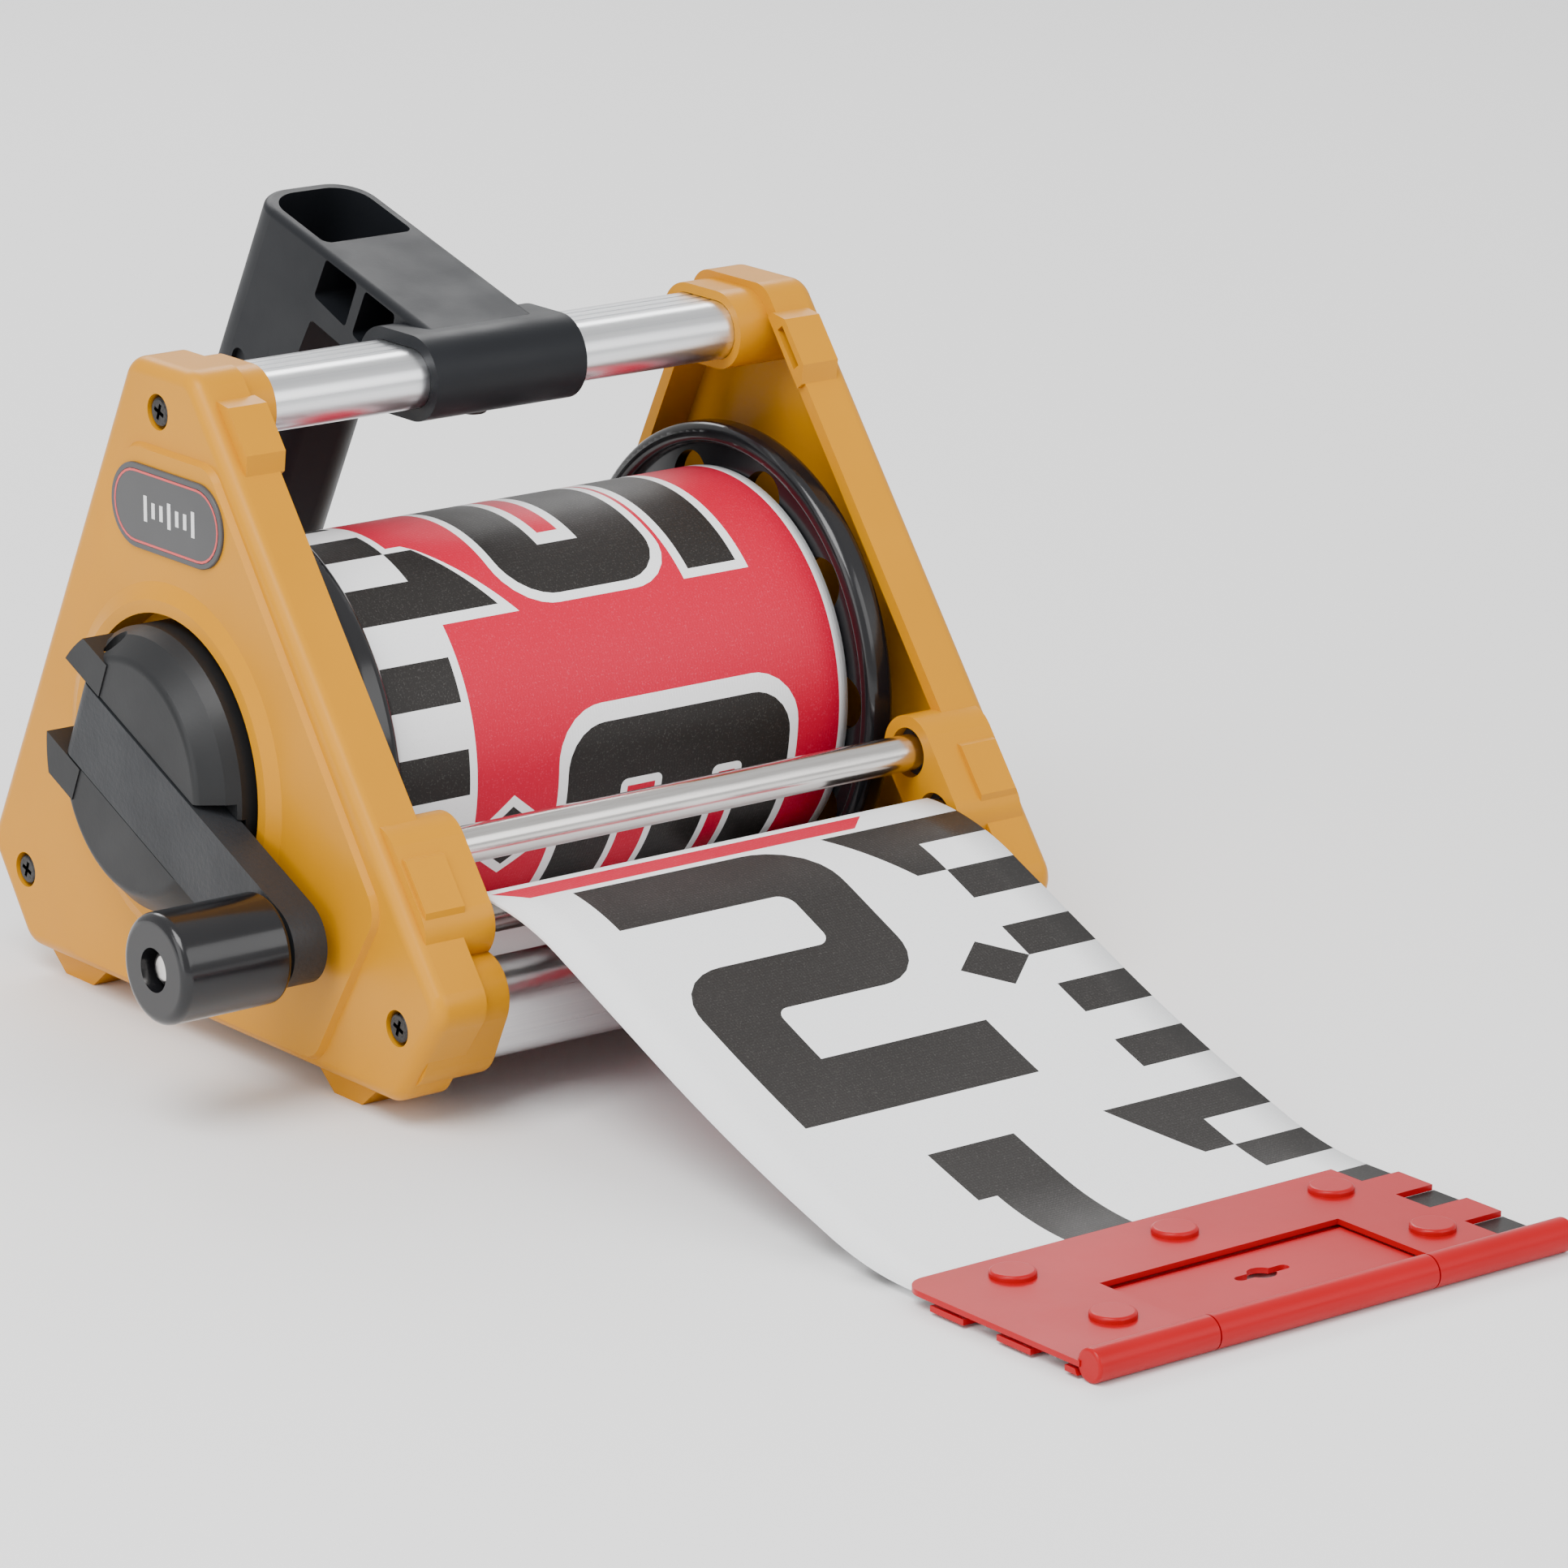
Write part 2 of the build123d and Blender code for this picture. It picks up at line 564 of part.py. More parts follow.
# ------------------------------------------------------------------- crank
def crank_hub():
    """Domed hub with a channel for the folding arm and an ear each side of it."""
    with BuildPart() as hub:
        with BuildSketch(Plane.XZ):
            with BuildLine():
                outline = Polyline((-HUB_BACK_X, AXIS_Z), (-HUB_BACK_X, AXIS_Z + HUB_R),
                                   (-HUB_RIM_X, AXIS_Z + HUB_R),
                                   (-HUB_RIM_X - 3.0, AXIS_Z + HUB_R - 1.6),
                                   (-HUB_TOP_X, AXIS_Z + 25.4), (-HUB_TOP_X, AXIS_Z), close=True)
            make_face()
        revolve(axis=REEL_AXIS)
        fillet(hub.edges().filter_by(GeomType.CIRCLE).group_by(Axis.X)[0], 2.4)
        with BuildSketch(crank_plane(-HUB_TOP_X - 0.3)):
            Circle(HUB_R)
            with Locations((-FOLD_BACK - 4.0, 0)):
                Rectangle(16, EAR_W, mode=Mode.INTERSECT)
        extrude(amount=10)
        with BuildSketch(crank_plane(-HUB_TOP_X - 1)):
            with Locations((2, 0)):
                Rectangle(90, CHANNEL_W)
        extrude(amount=HUB_TOP_X + 1 - 86.4, mode=Mode.SUBTRACT)
        with BuildSketch(crank_plane(-HUB_TOP_X)):
            Polygon((15, -6), (44, -6), (44, -21), align=None)
        extrude(amount=HUB_TOP_X - 88.4, mode=Mode.SUBTRACT)

        # pin bore through both ears, centre screw seat and shaft socket
        with BuildSketch(fold_plane(-EAR_W)):
            Circle(2.02)
        extrude(amount=2 * EAR_W, mode=Mode.SUBTRACT)
        with BuildSketch(across(-HUB_BACK_X)):
            with Locations((0, AXIS_Z)):
                Circle(SHAFT_R + 0.05)
        extrude(amount=-4.8, mode=Mode.SUBTRACT)
        with BuildSketch(across(-90)):
            with Locations((0, AXIS_Z)):
                Circle(4.4)
        extrude(amount=5.6, mode=Mode.SUBTRACT)
        with BuildSketch(across(-90)):
            with Locations((0, AXIS_Z)):
                Circle(2.1)
        extrude(amount=10, mode=Mode.SUBTRACT)
    return hub


def fold_plane(sideways):
    """Plane square to the fold pin, centred on it."""
    turn = radians(180 + CRANK_ANGLE)
    across_arm = (0, -sin(turn), cos(turn))
    y, z = crank_point(-FOLD_BACK, sideways)
    return Plane(origin=(-(ARM_OUT_X + ARM_IN_X) / 2, y, z), x_dir=(1, 0, 0), z_dir=across_arm)


def hub_screw():
    """Screw that clamps the hub on the shaft."""
    with BuildPart() as screw:
        with BuildSketch(across(-84.4)):
            with Locations((0, AXIS_Z)):
                Circle(3.9)
        extrude(amount=-1.6)
        with BuildSketch(across(-84.4)):
            with Locations((0, AXIS_Z)):
                Circle(1.85)
        extrude(amount=12)
    return screw


def fold_pin():
    """Pin that the crank arm folds on."""
    half = EAR_W / 2 - 0.6
    with BuildPart() as pin:
        with BuildSketch(fold_plane(-half)):
            Circle(1.98)
        extrude(amount=2 * half)
    return pin


def crank_arm():
    """Folding arm: flat bar with a round end, cored from its inner side."""
    end_r = ARM_W / 2
    root = -FOLD_BACK - 4.05
    with BuildPart() as arm:
        with BuildSketch(crank_plane(-ARM_OUT_X)):
            with Locations(((root + CRANK_R) / 2, 0)):
                Rectangle(CRANK_R - root, ARM_W)
            with Locations((CRANK_R, 0)):
                Circle(end_r)
        extrude(amount=ARM_OUT_X - ARM_IN_X)
        root_face = arm.faces().sort_by(Axis(origin=(0, 0, 0), direction=crank_plane(0).x_dir))[0]
        fillet(root_face.edges().filter_by(Axis(origin=(0, 0, 0),
                                                direction=crank_plane(0).y_dir)), 4.0)
        with BuildSketch(crank_plane(-ARM_IN_X)):
            with Locations((18.0, 0)):
                SlotOverall(56, ARM_W - 5.0)
        extrude(amount=-5.2, mode=Mode.SUBTRACT)
        with BuildSketch(crank_plane(-ARM_OUT_X)):
            with Locations((CRANK_R, 0)):
                Circle(7.6)
        extrude(amount=-1.6)
        with BuildSketch(fold_plane(-EAR_W)):
            Circle(2.04)
        extrude(amount=2 * EAR_W, mode=Mode.SUBTRACT)
        with BuildSketch(crank_plane(-ARM_OUT_X - 5)):
            with Locations((CRANK_R, 0)):
                Circle(3.02)
        extrude(amount=20, mode=Mode.SUBTRACT)
    return arm


def knob_spindle():
    """Riveted steel spindle with a domed head that the knob turns on."""
    y, z = crank_point(CRANK_R)
    with BuildPart() as spindle:
        with BuildSketch(across(-ARM_IN_X)):
            with Locations((y, z)):
                Circle(3.0)
        extrude(amount=-(118.4 - ARM_IN_X))
        with BuildSketch(across(-118.4)):
            with Locations((y, z)):
                Circle(3.8)
        extrude(amount=-3.6)
        fillet(spindle.faces().sort_by(Axis.X)[0].edges(), 1.6)
    return spindle


def crank_knob():
    """Turning knob with a rounded nose and a recess for the spindle head."""
    y, z = crank_point(CRANK_R)
    with BuildPart() as knob:
        with BuildSketch(across(-KNOB_IN_X)):
            with Locations((y, z)):
                Circle(KNOB_R)
        extrude(amount=-(KNOB_OUT_X - KNOB_IN_X))
        nose = knob.faces().sort_by(Axis.X)[0]
        fillet(nose.edges(), 2.1)
        fillet(knob.faces().sort_by(Axis.X)[-1].edges(), 1.0)
        with BuildSketch(across(-KNOB_IN_X + 1)):
            with Locations((y, z)):
                Circle(3.08)
        extrude(amount=-40, mode=Mode.SUBTRACT)
        with BuildSketch(across(-118.0)):
            with Locations((y, z)):
                Circle(4.7)
        extrude(amount=-10, mode=Mode.SUBTRACT)
    return knob


# --------------------------------------------------------------- free tape
CREST_R, CREST_TURN = 70.0, 23.5     # the tape's hump over the lower rod
FALL_R, FALL_TURN = 500.0, 6.3       # slow flattening on the way down
LAND_R = 85.0                        # sweep into the floor
PRE_LAND = 5.4
TAPE_END_Y = HOOK_ZERO_Y + 2 * BARREL_R + 1.2


def free_tape():
    """The paid-out tape: off the underside of the roll, over the lower rod, down to the hook."""
    rod_wrap = ROD_R + 0.1 + TAPE_T / 2
    roll_wrap = ROLL_R + 0.35 + TAPE_T / 2
    gap_y, gap_z = -LOWER_ROD[0], AXIS_Z - LOWER_ROD[1]
    span = hypot(gap_y, gap_z)
    slope = degrees(asin((rod_wrap + roll_wrap) / span) - atan2(gap_z, gap_y))
    down, flat = radians(slope), radians(CREST_TURN)
    leave_roll = (-roll_wrap * sin(down), AXIS_Z - roll_wrap * cos(down))
    on_rod = (LOWER_ROD[0] + rod_wrap * sin(down), LOWER_ROD[1] + rod_wrap * cos(down))
    run_in = hypot(leave_roll[0] - on_rod[0], leave_roll[1] - on_rod[1])
    late = radians(CREST_TURN - FALL_TURN)
    drop = (LOWER_ROD[1] + rod_wrap - TAPE_MID_Z - CREST_R * (1 - cos(flat))
            - FALL_R * (cos(late) - cos(flat)) - PRE_LAND * sin(late) - LAND_R * (1 - cos(late)))
    with BuildPart() as tape:
        with BuildSketch(Plane.YZ):
            with BuildLine():
                lift = Line(on_rod, leave_roll)
                over = JernArc(on_rod, (-cos(down), sin(down)), rod_wrap, slope)
                hump = JernArc(over @ 1, (-1, 0), CREST_R, CREST_TURN)
                fall = Line(hump @ 1, hump @ 1 + (hump % 1) * (drop / sin(flat)))
                ease = JernArc(fall @ 1, fall % 1, FALL_R, -FALL_TURN)
                near = Line(ease @ 1, ease @ 1 + (ease % 1) * PRE_LAND)
                land = JernArc(near @ 1, near % 1, LAND_R, -degrees(late))
                Line(land @ 1, (TAPE_END_Y, TAPE_MID_Z))
            trace(line_width=TAPE_T)
        extrude(amount=TAPE_W / 2, both=True)
        with BuildSketch(Plane.XY.offset(-1)):
            hook_window(1.8)
            with Locations(*RIVETS):
                Circle(1.55)
        extrude(amount=6, mode=Mode.SUBTRACT)
    return tape


# -------------------------------------------------------------------- hook
WINDOW_X = (-31.6, 30.4)
WINDOW_BACK_Y = -242.4
KNUCKLE_X = (-31.8, 24.2)
KNUCKLE_GAP = 0.35
BARREL_Y = HOOK_ZERO_Y + BARREL_R
PLATE_FRONT_Y = HOOK_ZERO_Y + 2 * BARREL_R
HOOK_PIN_X = (-60.6, 59.4)
FLAP_X = (-30.0, 30.0)
FLAP_BACK_Y = -243.6
KEYHOLE_Y = -254.0
KEYHOLE_R = 3.0
RIVETS = [(-42.1, -229.0), (-0.7, -229.0), (40.7, -229.0), (-41.6, -258.2), (41.2, -258.2)]


def hook_window(grow):
    """Rectangular window in the hook, added to the sketch in progress."""
    width = WINDOW_X[1] - WINDOW_X[0] + 2 * grow
    depth = WINDOW_BACK_Y - PLATE_FRONT_Y + grow + 4
    with Locations(((WINDOW_X[0] + WINDOW_X[1]) / 2, WINDOW_BACK_Y + grow - depth / 2)):
        Rectangle(width, depth)


def toothed_plate(long_side):
    """Plate outline whose long side, -1 or +1, shows the 10 mm steps as teeth."""
    tip = HOOK_LEFT_X if long_side < 0 else HOOK_RIGHT_X - 0.5
    plain = HOOK_RIGHT_X - 0.5 if long_side < 0 else HOOK_LEFT_X
    notch = tip - long_side * STEP
    front = PLATE_FRONT_Y - 1.2
    steps = [(notch, HOOK_BACK_Y)]
    for count in (4, 2):
        steps += [(notch, HOOK_ZERO_Y + (count + 1) * STEP), (tip, HOOK_ZERO_Y + (count + 1) * STEP),
                  (tip, HOOK_ZERO_Y + count * STEP), (notch, HOOK_ZERO_Y + count * STEP)]
    steps += [(notch, HOOK_ZERO_Y + STEP), (tip, HOOK_ZERO_Y + STEP), (tip, front)]
    Polygon((plain, front), (plain, HOOK_BACK_Y), *steps, align=None)


def hook_plate(heights, long_side, grow):
    """One toothed plate of the hook, without knuckles."""
    with BuildPart() as plate:
        with BuildSketch(Plane.XY.offset(heights[0])) as outline:
            toothed_plate(long_side)
            corner = (HOOK_LEFT_X if long_side > 0 else HOOK_RIGHT_X - 0.5, HOOK_BACK_Y, 0)
            fillet(outline.vertices().sort_by_distance(corner)[:1], 5.5)
            with Locations(*RIVETS):
                Circle(1.55, mode=Mode.SUBTRACT)
        extrude(amount=heights[1] - heights[0])
        with BuildSketch(Plane.XY.offset(heights[0])):
            hook_window(grow)
        extrude(amount=heights[1] - heights[0], mode=Mode.SUBTRACT)
    return plate


def hook_top():
    """Upper plate, rolled at the front into the two outer knuckles."""
    blank = hook_plate(TOP_PLATE_Z, RIGHT, 0)
    with BuildPart() as plate:
        add(blank.part)
        for x_low, x_high in ((HOOK_LEFT_X + 0.3, KNUCKLE_X[0] - KNUCKLE_GAP),
                              (KNUCKLE_X[1] + KNUCKLE_GAP, HOOK_RIGHT_X + 1.0)):
            with BuildSketch(across(x_low)):
                with Locations((BARREL_Y, BARREL_R)):
                    Circle(BARREL_R)
            extrude(amount=x_high - x_low)
        fillet(plate.edges().filter_by(GeomType.CIRCLE).group_by(Axis.X)[0], 0.7)
        fillet(plate.edges().filter_by(GeomType.CIRCLE).group_by(Axis.X)[-1], 0.7)
        with BuildSketch(across(HOOK_PIN_X[0])):
            with Locations((BARREL_Y, BARREL_R)):
                Circle(HOOK_PIN_R + 0.02)
        extrude(amount=HOOK_PIN_X[1] - HOOK_PIN_X[0], mode=Mode.SUBTRACT)
        with BuildSketch(across(KNUCKLE_X[0] - KNUCKLE_GAP)):
            with Locations((BARREL_Y, BARREL_R)):
                Rectangle(2 * BARREL_R + 2.4, 2 * BARREL_R + 1)
        extrude(amount=KNUCKLE_X[1] - KNUCKLE_X[0] + 2 * KNUCKLE_GAP, mode=Mode.SUBTRACT)
    return plate


def hook_bottom():
    """Lower plate, cut back from the barrel."""
    blank = hook_plate(BOTTOM_PLATE_Z, LEFT, 0.4)
    with BuildPart() as plate:
        add(blank.part)
        with BuildSketch(across(HOOK_LEFT_X - 1)):
            with Locations((BARREL_Y, BARREL_R)):
                Circle(BARREL_R + 0.4)
        extrude(amount=2 * HOOK_RIGHT_X + 6, mode=Mode.SUBTRACT)
    return plate


def hook_flap():
    """Hinged leaf with a keyhole for a nail, on the middle knuckle."""
    low, high = KNUCKLE_X
    leaf_z = (1.3, 2.5)
    with BuildPart() as leaf:
        with BuildSketch(Plane.XY.offset(leaf_z[0])):
            with Locations(((FLAP_X[0] + FLAP_X[1]) / 2, (BARREL_Y + FLAP_BACK_Y) / 2)):
                Rectangle(FLAP_X[1] - FLAP_X[0], FLAP_BACK_Y - BARREL_Y)
            with Locations((0, KEYHOLE_Y)):
                Circle(KEYHOLE_R, mode=Mode.SUBTRACT)
                SlotOverall(2 * KEYHOLE_R + 7.6, 2.4, mode=Mode.SUBTRACT)
        extrude(amount=leaf_z[1] - leaf_z[0])
        with BuildSketch(Plane.XY):
            with Locations(((high + FLAP_X[1] + 1) / 2, BARREL_Y)):
                Rectangle(FLAP_X[1] + 1 - high, 2 * BARREL_R + 1.2)
        extrude(amount=6, mode=Mode.SUBTRACT)
        with BuildSketch(across(low)):
            with Locations((BARREL_Y, BARREL_R)):
                Circle(BARREL_R)
        extrude(amount=high - low)
        with BuildSketch(across(low - 1)):
            with Locations((BARREL_Y, BARREL_R)):
                Circle(HOOK_PIN_R + 0.06)
        extrude(amount=high - low + 2, mode=Mode.SUBTRACT)
    return leaf


def hook_pin():
    """Hinge pin of the hook."""
    with BuildPart() as pin:
        with BuildSketch(across(HOOK_PIN_X[0] + 0.2)):
            with Locations((BARREL_Y, BARREL_R)):
                Circle(HOOK_PIN_R)
        extrude(amount=HOOK_PIN_X[1] - HOOK_PIN_X[0] - 0.4)
        chamfer(pin.edges().filter_by(GeomType.CIRCLE), 0.3)
    return pin


def hook_rivets():
    """Five domed rivets through plates and tape."""
    with BuildPart() as rivets:
        with BuildSketch(Plane.XY.offset(BOTTOM_PLATE_Z[0] - 0.5)):
            with Locations(*RIVETS):
                Circle(1.5)
        extrude(amount=TOP_PLATE_Z[1] - BOTTOM_PLATE_Z[0] + 0.6)
        with BuildSketch(Plane.XY.offset(TOP_PLATE_Z[1])):
            with Locations(*RIVETS):
                Circle(4.75)
        extrude(amount=1.35)
        crowns = rivets.faces().filter_by(Axis.Z).group_by(Axis.Z)[-1]
        fillet(crowns.edges(), 0.7)
        with BuildSketch(Plane.XY.offset(BOTTOM_PLATE_Z[0])):
            with Locations(*RIVETS):
                Circle(3.0)
        extrude(amount=-0.6)
    return rivets


def badge():
    """Stadium-shaped plate on the left panel with a shallow border groove."""
    with BuildPart() as plate:
        with BuildSketch(across(-PANEL_X)):
            with Locations(BADGE_AT):
                SlotOverall(*BADGE_SIZE)
        extrude(amount=-0.7)
        chamfer(plate.faces().sort_by(Axis.X)[0].edges(), 0.2)
        with BuildSketch(across(-PANEL_X - 0.7)):
            with Locations(BADGE_AT):
                SlotOverall(BADGE_SIZE[0] - 2.4, BADGE_SIZE[1] - 2.4)
                SlotOverall(BADGE_SIZE[0] - 3.6, BADGE_SIZE[1] - 3.6, mode=Mode.SUBTRACT)
        extrude(amount=0.3, mode=Mode.SUBTRACT)
    return plate


# ------------------------------------------------------------------ export
PIECES = {
    "left_side_frame": side_frame(LEFT),
    "right_side_frame": side_frame(RIGHT),
    "badge": badge(),
    "top_tube": frame_tube(TOP_TUBE, 0, True),
    "front_tube": frame_tube(FRONT_TUBE, 115),
    "rear_tube": frame_tube(REAR_TUBE, 65),
    "left_frame_screws": frame_screws(LEFT),
    "right_frame_screws": frame_screws(RIGHT),
    "left_rod_bushes": rod_bushes(LEFT),
    "right_rod_bushes": rod_bushes(RIGHT),
    "upper_guide_rod": guide_rod(UPPER_ROD),
    "lower_guide_rod": guide_rod(LOWER_ROD),
    "carrying_grip": handle(),
    "grip_screw": handle_screw(),
    "left_shaft_bush": shaft_bush(LEFT),
    "right_shaft_bush": shaft_bush(RIGHT),
    "left_thrust_washer": thrust_washer(LEFT),
    "right_thrust_washer": thrust_washer(RIGHT),
    "shaft_cap": shaft_cap(),
    "reel_shaft": shaft(),
    "shaft_ring": shaft_ring(),
    "winding_drum": drum(),
    "tape_clip": tape_clip(),
    "left_reel_flange": reel_flange(LEFT),
    "right_reel_flange": reel_flange(RIGHT),
    "tape_roll": tape_roll(),
    "crank_hub": crank_hub(),
    "hub_screw": hub_screw(),
    "fold_pin": fold_pin(),
    "crank_arm": crank_arm(),
    "knob_spindle": knob_spindle(),
    "crank_knob": crank_knob(),
    "free_tape": free_tape(),
    "hook_top_plate": hook_top(),
    "hook_bottom_plate": hook_bottom(),
    "hook_flap": hook_flap(),
    "hook_pin": hook_pin(),
    "hook_rivets": hook_rivets(),
}

os.makedirs("parts", exist_ok=True)
for label, piece in PIECES.items():
    save(piece, label)
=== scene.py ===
import math

import bmesh
import bpy
from mathutils import Matrix, Vector, geometry


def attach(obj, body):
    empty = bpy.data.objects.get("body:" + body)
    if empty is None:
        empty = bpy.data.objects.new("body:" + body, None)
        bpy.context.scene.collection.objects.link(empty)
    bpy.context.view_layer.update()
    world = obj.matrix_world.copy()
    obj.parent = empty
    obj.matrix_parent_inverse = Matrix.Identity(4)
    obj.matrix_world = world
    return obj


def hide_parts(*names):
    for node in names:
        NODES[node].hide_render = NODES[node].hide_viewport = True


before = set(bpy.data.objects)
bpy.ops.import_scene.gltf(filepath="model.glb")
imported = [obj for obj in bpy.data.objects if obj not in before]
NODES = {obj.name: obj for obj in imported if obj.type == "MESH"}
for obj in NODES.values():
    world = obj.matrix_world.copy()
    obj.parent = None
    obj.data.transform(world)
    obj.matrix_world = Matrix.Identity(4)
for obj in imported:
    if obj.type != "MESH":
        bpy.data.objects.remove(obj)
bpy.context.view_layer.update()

MM = 0.001
MIDDLE = Vector((-19.5, -77.47, 0.0))     # the origin lies below this point, in mm
AXIS_Z = 60.5                             # height of the reel's axis


def in_metres(point):
    """A point in the script's millimetres, which start below the reel, as the frame's metres."""
    return (Vector(point) - MIDDLE) * MM


def add(name, data):
    """New object with this data, linked to the scene."""
    obj = bpy.data.objects.new(name, data)
    bpy.context.scene.collection.objects.link(obj)
    return obj


# ---------------------------------------------------------------- materials
class Shader:
    """A Principled material with short helpers for its procedural nodes."""

    def __init__(self, name):
        self.mat = bpy.data.materials.new(name)
        self.mat.use_nodes = True
        self.tree = self.mat.node_tree
        self.bsdf = self.tree.nodes["Principled BSDF"]
        self.point = self.node("ShaderNodeTexCoord").outputs["Object"]

    def node(self, kind, **values):
        made = self.tree.nodes.new(kind)
        for key, value in values.items():
            if key in made.inputs:
                made.inputs[key].default_value = value
            else:
                setattr(made, key, value)
        return made

    def link(self, a, b):
        self.tree.links.new(a, b)

    def stretched(self, scale):
        mapping = self.node("ShaderNodeMapping")
        mapping.inputs["Scale"].default_value = scale
        self.link(self.point, mapping.inputs["Vector"])
        return mapping.outputs["Vector"]

    def noise(self, scale, detail=3.0, vector=None):
        made = self.node("ShaderNodeTexNoise")
        made.inputs["Scale"].default_value = scale
        made.inputs["Detail"].default_value = detail
        self.link(vector or self.point, made.inputs["Vector"])
        return made.outputs["Fac"]

    def ramp(self, fac, low, high, from_low=0.3, from_high=0.7):
        made = self.node("ShaderNodeMapRange")
        made.inputs["From Min"].default_value = from_low
        made.inputs["From Max"].default_value = from_high
        made.inputs["To Min"].default_value = low
        made.inputs["To Max"].default_value = high
        self.link(fac, made.inputs["Value"])
        return made.outputs["Result"]

    def mix(self, fac, a, b):
        made = self.node("ShaderNodeMix", data_type="RGBA")
        made.inputs[6].default_value = (*a, 1)
        made.inputs[7].default_value = (*b, 1)
        self.link(fac, made.inputs["Factor"])
        return made.outputs[2]

    def bump(self, height, strength, distance):
        made = self.node("ShaderNodeBump")
        made.inputs["Strength"].default_value = strength
        made.inputs["Distance"].default_value = distance
        self.link(height, made.inputs["Height"])
        self.link(made.outputs["Normal"], self.bsdf.inputs["Normal"])

    def set(self, **values):
        for key, value in values.items():
            self.bsdf.inputs[key.replace("_", " ")].default_value = value


def moulded(name, dark, light, rough, grain=900.0, depth=0.00004, clear=0.0, shine=0.4):
    """Moulded plastic: slow colour drift, uneven gloss and a fine grain."""
    sh = Shader(name)
    sh.link(sh.mix(sh.ramp(sh.noise(22), 0, 1), dark, light), sh.bsdf.inputs["Base Color"])
    sh.link(sh.ramp(sh.noise(60, 5), rough[0], rough[1]), sh.bsdf.inputs["Roughness"])
    sh.bump(sh.noise(grain, 4), 0.35, depth)
    sh.set(Coat_Weight=clear, Coat_Roughness=0.12, Specular_IOR_Level=shine)
    return sh.mat


def metal(name, dark, light, rough, along, depth=0.00001):
    """Metal with fine drawing lines running along one axis."""
    sh = Shader(name)
    lines = sh.noise(1500, 3, sh.stretched(along))
    sh.link(sh.mix(sh.ramp(lines, 0, 1), dark, light), sh.bsdf.inputs["Base Color"])
    sh.link(sh.ramp(lines, rough[0], rough[1]), sh.bsdf.inputs["Roughness"])
    sh.bump(lines, 0.25, depth)
    sh.set(Metallic=1.0)
    return sh.mat


def woven(name, colour, speck, rough=(0.40, 0.55)):
    """Coated glass-fibre cloth: a fine weave that shows through the print."""
    sh = Shader(name)
    weave = []
    for axis in ("X", "Y"):
        wave = sh.node("ShaderNodeTexWave", wave_type="BANDS", bands_direction=axis)
        wave.inputs["Scale"].default_value = 420.0
        wave.inputs["Distortion"].default_value = 0.6
        wave.inputs["Detail"].default_value = 1.0
        sh.link(sh.point, wave.inputs["Vector"])
        weave.append(wave.outputs["Fac"])
    both = sh.node("ShaderNodeMath", operation="MULTIPLY")
    sh.link(weave[0], both.inputs[0])
    sh.link(weave[1], both.inputs[1])
    grains = sh.ramp(sh.noise(2600, 2), 0, 1, 0.56, 0.74)
    sh.link(sh.mix(grains, colour, speck), sh.bsdf.inputs["Base Color"])
    sh.link(sh.ramp(sh.noise(40), rough[0], rough[1]), sh.bsdf.inputs["Roughness"])
    sh.bump(both.outputs[0], 0.35, 0.00005)
    sh.set(Specular_IOR_Level=0.25)
    return sh.mat


YELLOW = moulded("moulded_yellow", (0.52, 0.215, 0.0), (0.57, 0.235, 0.0), (0.30, 0.40),
                 1400, 0.00003, shine=0.2)
CHARCOAL = moulded("moulded_charcoal", (0.0065, 0.0075, 0.0095), (0.0095, 0.0105, 0.013), (0.42, 0.54),
                   1500, 0.00003, shine=0.22)
HUB_GREY = moulded("hub_charcoal", (0.008, 0.0085, 0.0095), (0.012, 0.0125, 0.0135), (0.38, 0.50),
                   1300, 0.00004, shine=0.32)
ARM_GREY = moulded("textured_coat", (0.014, 0.0155, 0.018), (0.021, 0.0225, 0.0255), (0.42, 0.58),
                   900, 0.00030, shine=0.34)
GLOSS = moulded("gloss_black", (0.006, 0.006, 0.007), (0.009, 0.009, 0.0105), (0.16, 0.24),
                700, 0.00001, 0.25, 0.3)
BUSH = moulded("bush_black", (0.020, 0.020, 0.022), (0.032, 0.032, 0.034), (0.40, 0.55))
BADGE = moulded("badge_grey", (0.052, 0.052, 0.054), (0.064, 0.064, 0.066), (0.34, 0.44),
                1600, 0.00001)
RED_PAINT = moulded("red_coat", (0.36, 0.0, 0.004), (0.41, 0.0, 0.006), (0.28, 0.38),
                    800, 0.00001, 0.0, 0.2)
LINE_RED = moulded("badge_red", (0.55, 0.06, 0.06), (0.62, 0.08, 0.08), (0.40, 0.50))
LINE_WHITE = moulded("badge_white", (0.70, 0.70, 0.70), (0.78, 0.78, 0.78), (0.40, 0.50))
ALUMINIUM = metal("satin_aluminium", (0.74, 0.75, 0.77), (0.80, 0.81, 0.82), (0.27, 0.31),
                  (0.004, 1, 1), 0.000002)
STEEL = metal("polished_steel", (0.62, 0.60, 0.58), (0.70, 0.68, 0.66), (0.18, 0.24),
              (0.05, 1, 1), 0.000003)
SCREW = metal("black_zinc", (0.035, 0.033, 0.032), (0.07, 0.066, 0.064), (0.25, 0.38), (1, 1, 1))
CLOTH = [woven("tape_white", (0.88, 0.89, 0.90), (0.82, 0.83, 0.84)),
         woven("tape_black", (0.017, 0.015, 0.014), (0.050, 0.047, 0.044)),
         woven("tape_red", (0.54, 0.0, 0.030), (0.60, 0.03, 0.07))]

